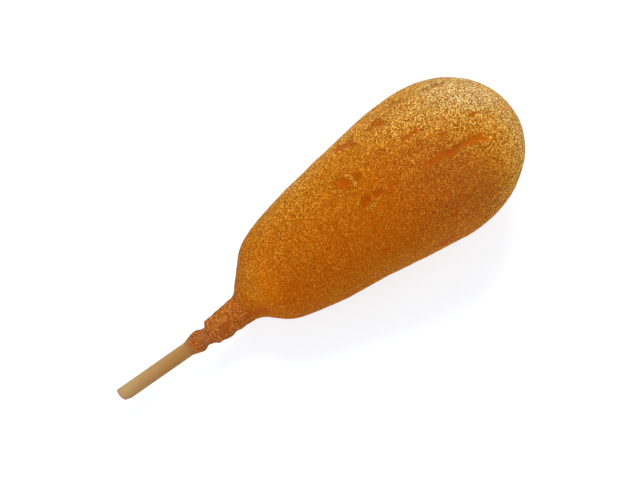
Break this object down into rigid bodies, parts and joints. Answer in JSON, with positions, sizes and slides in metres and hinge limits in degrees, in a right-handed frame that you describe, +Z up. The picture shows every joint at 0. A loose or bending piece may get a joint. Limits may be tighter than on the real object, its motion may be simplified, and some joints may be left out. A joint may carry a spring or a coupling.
{
  "type": "corn dog",
  "caption": "Corn dog lying on its flank: a coat of fried batter, widest near its round nose, that narrows to a ragged collar round a plain round wooden stick.",
  "frame": {"origin": "centre of the bounding box's base, on the table plane", "axes": "+X runs from the stick's bare end towards the nose, +Y to the left of that, and +Z up"},
  "size_m": [0.1571, 0.0504, 0.0514],
  "materials": {
    "crust": "fried cornmeal batter, golden brown, grainy with a slight sheen of oil",
    "wood": "unvarnished pale dowel, slightly stained by oil near the food"
  },
  "bodies": {
    "root": {"batter": "crust", "stick": "wood"}
  },
  "joints": []
}
